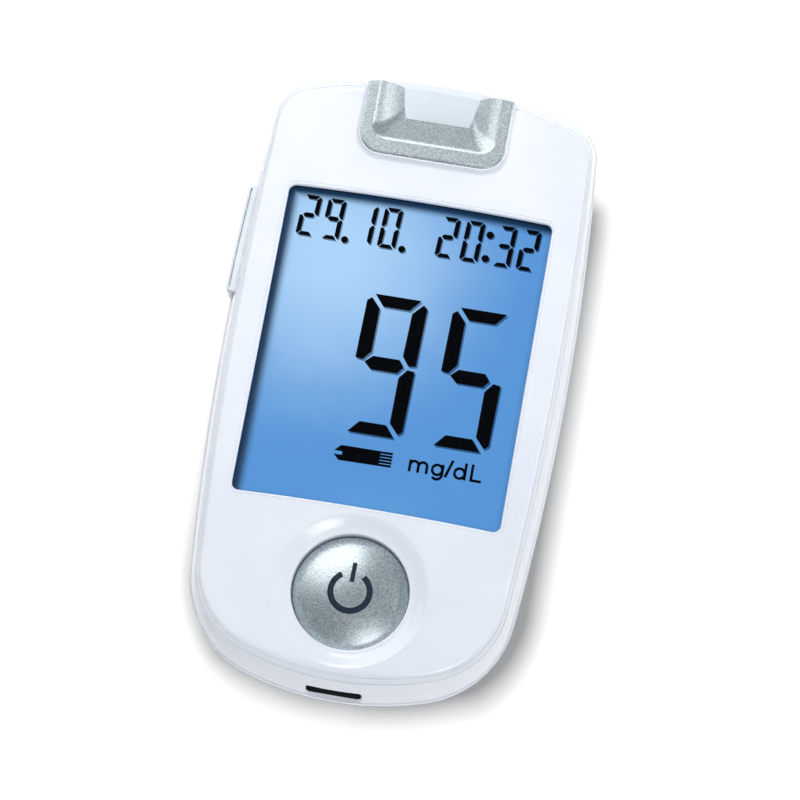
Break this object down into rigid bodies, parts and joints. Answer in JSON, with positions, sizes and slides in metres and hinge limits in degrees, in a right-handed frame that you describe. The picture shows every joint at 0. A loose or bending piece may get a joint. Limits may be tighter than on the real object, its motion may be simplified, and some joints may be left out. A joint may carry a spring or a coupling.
{
  "type": "blood glucose meter",
  "caption": "Handheld blood glucose meter: glossy clamshell with a large lit display, domed power button in a dish, funnel strip port, side rocker and sliding battery door.",
  "frame": {"origin": "middle of the flat back face, on the housing's plane of symmetry", "axes": "+X to the right seen from the display side, +Y towards the strip port, +Z out of the display"},
  "size_m": [0.0609, 0.111, 0.0222],
  "materials": {
    "housing_white": "high gloss moulded plastic, white with a cool tint",
    "rocker_white": "satin moulded plastic",
    "window_clear": "clear hard-coated acrylic",
    "dark_foam": "dark adhesive foam",
    "display_blue": "polarised display glass, lit blue from behind",
    "display_glass": "display glass",
    "frame_white": "matt moulded plastic",
    "light_guide": "clear acrylic, dotted on the back",
    "led_yellow": "lamp package",
    "contact_rubber": "layered conductive rubber",
    "board_green": "solder-resist coated laminate",
    "chip_black": "moulded epoxy or nylon",
    "liner_black": "black soft plastic",
    "bare_metal": "tin or nickel plated sheet",
    "ceramic_tan": "fired ceramic",
    "silver_paint": "silver sparkle paint over moulded plastic",
    "panel_pale": "milky translucent plastic",
    "contact_gold": "gold plated spring leaf",
    "cell_wrap": "plain wrapped steel can",
    "screw_steel": "zinc plated, cross recess"
  },
  "bodies": {
    "case": {"front_housing": "housing_white", "rear_housing": "housing_white", "display_window": "window_clear", "window_adhesive": "dark_foam", "display_gasket": "dark_foam", "lcd_front_glass": "display_blue", "lcd_rear_glass": "display_glass", "lcd_frame": "frame_white", "backlight_guide": "light_guide", "reflector_sheet": "frame_white", "backlight_leds": "led_yellow", "zebra_strip": "contact_rubber", "main_board": "board_green", "controller_chip": "chip_black", "memory_chip": "chip_black", "crystal": "bare_metal", "board_passives": "ceramic_tan", "strip_port_trim": "silver_paint", "strip_port_panel": "panel_pale", "strip_connector": "chip_black", "strip_contacts": "contact_gold", "power_switch": "chip_black", "side_switches": "chip_black", "usb_socket": "bare_metal", "usb_tongue": "chip_black", "usb_port_liner": "liner_black", "battery_left": "cell_wrap", "battery_right": "cell_wrap", "battery_springs": "bare_metal", "battery_plates": "bare_metal", "housing_screws": "screw_steel"},
    "button": {"power_button": "silver_paint", "power_switch_plunger": "chip_black"},
    "rocker": {"side_rocker": "rocker_white", "side_switch_plungers": "chip_black"},
    "door": {"battery_door": "housing_white"}
  },
  "joints": [
    {"name": "power_button_press", "type": "slide", "parent": "case", "child": "button", "axis": [0, 0, -1], "range_m": [0, 0.0004], "stiffness_N_per_m": 1200, "springref_m": -0.0002},
    {"name": "side_rocker_tilt", "type": "hinge", "parent": "case", "child": "rocker", "pos_m": [-0.0264, 0.0212, 0.0143], "axis": [0, 0, 1], "range_deg": [-2.5, 2.5], "stiffness_Nm_per_rad": 0.12},
    {"name": "battery_door_slide", "type": "slide", "parent": "case", "child": "door", "axis": [0, -1, 0], "range_m": [0, 0.012]}
  ]
}
